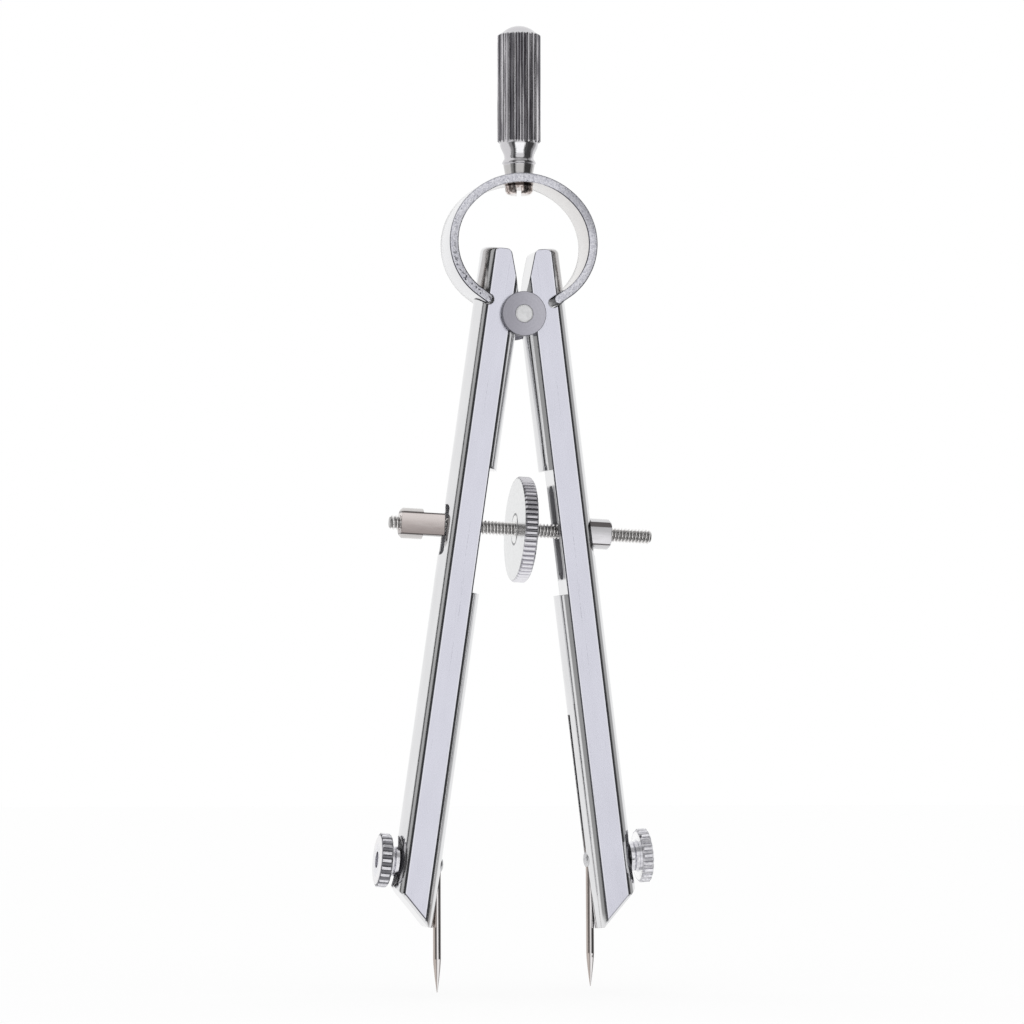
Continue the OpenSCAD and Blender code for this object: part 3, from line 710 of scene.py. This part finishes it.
def ring_line(side):
    """Middle line of one half of the ring, from the crown to the tip, with its outward directions.

    The line is the crown's arc, the tighter side arc and a straight end. The third result is the share of the
    strip's thickness: 1, and falling as a quarter round over the last half thickness.
    """
    crown_z = RING_TOP - RING_T / 2 - CROWN_R
    half = math.radians(CROWN_HALF_ANGLE)
    side_x, side_z = side_arc_middle()
    slope = math.radians(TAIL_SLOPE)
    crown_steps, flank_steps, tail_steps, end_steps = 40, 72, 8, 9
    first_step, thinnest = 0.5, 0.08
    crown = np.linspace(0, half, crown_steps, endpoint=False)
    flank = np.linspace(half, np.pi - slope, flank_steps)
    start = np.array([side_x + SIDE_R * math.sin(slope), side_z - SIDE_R * math.cos(slope)])
    tail_len = (start[0] - TIP_X) / math.cos(slope)
    back = np.array([-math.cos(slope), -math.sin(slope)])
    swell = np.linspace(0, np.pi / 2, end_steps)
    straight = tail_len - RING_T / 2
    reach = np.concatenate([
        np.linspace(first_step, straight, tail_steps, endpoint=False),
        straight + RING_T / 2 * np.sin(swell),
    ])
    thick = np.ones(crown_steps + flank_steps + tail_steps)
    thick = np.concatenate([thick, np.maximum(np.cos(swell), thinnest)])
    angles = np.concatenate([crown, flank, np.full(len(reach), np.pi - slope)])
    outward = np.stack([np.sin(angles), np.cos(angles)], -1)
    line = np.concatenate([
        CROWN_R * outward[:crown_steps] + (0, crown_z),
        SIDE_R * outward[crown_steps : crown_steps + flank_steps] + (side_x, side_z),
        start + reach[:, None] * back,
    ])
    flip = np.array([side, 1])
    return line * flip, outward * flip, thick


def strip_section():
    """Outline of the strip's section, from its middle: a quarter round at each corner, mirrored twice.

    The first value runs across its thickness, and the second along its width.
    """
    turn = np.linspace(0, np.pi / 2, 5)
    corner = np.stack([np.cos(turn), np.sin(turn)], -1) * RING_EDGE
    quarter = corner + (RING_T / 2 - RING_EDGE, RING_DEPTH / 2 - RING_EDGE)
    other = quarter[::-1] * (-1, 1)
    return np.concatenate([quarter, other, quarter * (-1, -1), other * (-1, -1)])


def ring_half(name, side, material):
    """Half of the ring: the strip's section carried along its line, and thinner round the tip.

    Each point keeps how far it lies along the strip, across its thickness and across its width. The right
    half is a mirror image, so its columns run the other way round, which keeps its faces outward.
    """
    line, outward, thick = ring_line(side)
    section = strip_section()
    offset = section[None, :, 0] * thick[:, None]
    x = line[:, None, 0] + offset * outward[:, None, 0]
    z = line[:, None, 1] + offset * outward[:, None, 1] + PIVOT_Z
    y = np.broadcast_to(section[None, :, 1], x.shape)
    grid = np.stack([x, y, z], -1)
    steps = np.linalg.norm(np.diff(line, axis=0), axis=1)
    length = np.concatenate([[0], np.cumsum(steps)])[:, None]
    strip = np.stack([np.broadcast_to(length, x.shape), offset, y], -1)
    if side == RIGHT:
        grid = grid[:, ::-1]
        strip = strip[:, ::-1]
    piece = closed_tube(name, grid, material, sharp=60)
    places = piece.data.attributes.new("strip", "FLOAT_VECTOR", "POINT")
    places.data.foreach_set("vector", strip.reshape(-1))
    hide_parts("ring_spring")
    return piece


def dress():
    """Finishes for the CAD nodes."""
    # Each nut's flats painted in a tone that changes from top to bottom as a reflection, a tint for its round
    # ends, and how deep its painted dark band reaches
    left_nut = nut_look((0.78, 0.71, 0.69), (0.30, 0.25, 0.24), (0.66, 0.64, 0.63), 0.2)
    right_nut = nut_look((0.42, 0.42, 0.44), (0.88, 0.87, 0.91), (0.72, 0.72, 0.74), 0.75)
    rivet = plain_look((0.74, 0.74, 0.75), (0.92, 0.92, 0.93), 0.3, 0.2)
    finishes = {
        "left_leg": finish_of("left_leg_chrome", leg_look(LEFT, LEFT_OPEN, joints["left_thumb_turn"])),
        "right_leg": finish_of("right_leg_chrome", leg_look(RIGHT, RIGHT_OPEN, joints["right_thumb_turn"])),
        "handle": finish_of("fluted_chrome", handle_look),
        "handle_screw": finish_of("warm_steel", screw_head_look),
        "pivot_pin": finish_of("rivet_end", rivet),
        "adjusting_wheel": finish_of("wheel_nickel", wheel_look),
        "left_nut": finish_of("left_nut_nickel", left_nut),
        "right_nut": finish_of("right_nut_nickel", right_nut),
    }
    washer = finish_of("rubbed_washer", washer_look)
    bolt = finish_of("bolt_steel", plain_look((0.40, 0.40, 0.42), (0.74, 0.74, 0.75), 0.2, 0.1))
    for name in ("front_washer", "back_washer"):
        finishes[name] = washer
    # Painted shade in each thumb nut's grooves, and the painted tint of its faces
    thumb_shades = {"left": (0.82, (0.82, 0.81, 0.82)), "right": (0.25, (1.0, 1.0, 1.0))}
    for side, (gap, face) in thumb_shades.items():
        thumb = thumb_look(joints[f"{side}_thumb_turn"], gap, face)
        finishes[f"{side}_thumb_nut"] = finish_of(f"{side}_thumb_nickel", thumb)
        finishes[f"{side}_clamp_bolt"] = bolt
        finishes[f"{side}_needle"] = finish_of(f"{side}_needle_steel", needle_look(side))
    for name, finish in finishes.items():
        nodes[name].material_slots[0].material = finish


def ring_pieces():
    """The two halves of the ring, each reaching from the handle to its own leg."""
    for name, side in (("left", LEFT), ("right", RIGHT)):
        spring = finish_of(f"{name}_spring_steel", spring_look(side))
        half = ring_half(f"{name}_ring_half", side, spring)
        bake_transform(half)


# Dark cards about the white tent. Each has the turns from the front to the right, in degrees, at which it
# starts and ends, its lowest and highest reach as the sine of its height, the width of its soft ends in
# degrees, and how dark it is.
CARDS = (
    (30, 89, -0.8, 0.8, 6, 0.93),
    (89, 108, -0.8, 0.8, 8, 0.55),
    (-63, -38, 0.0, 0.8, 3, 0.95),
    (-79, -63, 0.0, 0.8, 3, 0.50),
    (-84, -79, 0.0, 0.8, 2, 0.90),
    (-55, -38, -0.8, 0.0, 3, 0.90),
    (-76, -55, -0.8, 0.0, 4, 0.62),
    (-70, 70, 0.56, 0.92, 10, 0.55),
)


def card_shade(direction):
    """How dark the cards are in a direction from the tool."""
    x, y, up = (direction.along(axis) for axis in ((1, 0, 0), (0, 1, 0), (0, 0, 1)))
    turn = turn_of(x, y)
    shade = turn * 0
    for first, last, low, high, soft, darkness in CARDS:
        shade = shade.at_least(darkness * turn.between(first, last, soft) * up.between(low, high, 0.05))
    return shade


def floor():
    """A white floor under the needle points, which keeps a faint shadow and shows the cards to the metal."""
    half, gap_below, glow_seen = 3000 * MM, 0.2 * MM, 0.7
    level = cad_box[0].z - gap_below
    mesh = bpy.data.meshes.new("floor")
    corners = [(-half, -half, level), (half, -half, level), (half, half, level), (-half, half, level)]
    mesh.from_pydata(corners, [], [(0, 1, 2, 3)])
    plane = bpy.data.objects.new("floor", mesh)
    bpy.context.scene.collection.objects.link(plane)
    material = bpy.data.materials.new("white_floor")
    material.use_nodes = True
    material.node_tree.nodes.clear()
    start = Shade(material.node_tree)
    camera_ray = start.make("ShaderNodeLightPath", {}, {}, "Is Camera Ray")
    glossy_ray = start.make("ShaderNodeLightPath", {}, {}, "Is Glossy Ray")
    place = start.make("ShaderNodeTexCoord", {}, {}, "Object")
    middle = (0, 0, (cad_box[0].z + cad_box[1].z) / 2)
    direction = start.make("ShaderNodeVectorMath", {"operation": "NORMALIZE"}, {0: place.minus(middle)})
    bright = 1 - glossy_ray * card_shade(direction)
    white = start.make("ShaderNodeEmission", {}, {"Color": bright, "Strength": 1.0})
    matt = start.make("ShaderNodeBsdfDiffuse", {}, {"Color": (0.97, 0.97, 0.97, 1)})
    seen = camera_ray * glow_seen + glossy_ray
    both = start.make("ShaderNodeMixShader", {}, {0: seen, 1: matt, 2: white})
    start.make("ShaderNodeOutputMaterial", {}, {"Surface": both})
    mesh.materials.append(material)


def studio():
    """A white tent with dark cards that the metal mirrors, and white where the camera looks past the tool."""
    world = bpy.data.worlds.new("studio")
    bpy.context.scene.world = world
    world.use_nodes = True
    world.node_tree.nodes.clear()
    start = Shade(world.node_tree)
    direction = start.make("ShaderNodeTexCoord", {}, {}, "Generated")
    glossy_ray = start.make("ShaderNodeLightPath", {}, {}, "Is Glossy Ray")
    bright = 1 - glossy_ray * card_shade(direction)
    light = start.make("ShaderNodeBackground", {}, {"Color": bright, "Strength": 1.0})
    start.make("ShaderNodeOutputWorld", {}, {"Surface": light})


def camera():
    """A long lens, a little to the left of the tool and below its middle."""
    azimuth, elevation, distance = math.radians(-12.0), math.radians(-3.1), 800.0
    target = Vector((-1.26, 0, -75.3))
    pixels_per_mm, picture_width = 5.66, 1024
    data = bpy.data.cameras.new("camera")
    data.sensor_width = 36.0
    data.lens = pixels_per_mm * distance / picture_width * data.sensor_width
    body = bpy.data.objects.new("camera", data)
    bpy.context.scene.collection.objects.link(body)
    reach = math.cos(elevation)
    back = Vector((math.sin(azimuth) * reach, -math.cos(azimuth) * reach, math.sin(elevation)))
    body.location = (target + back * distance) * MM
    body.rotation_mode = "QUATERNION"
    body.rotation_quaternion = (-back).to_track_quat("-Z", "Y")
    data.clip_start, data.clip_end = 0.01, 20.0
    bpy.context.scene.camera = body


bpy.context.scene.view_settings.view_transform = "Standard"
camera()
studio()
floor()
dress()
adjusting_screw(finish_of("thread_steel", thread_look))
ring_pieces()
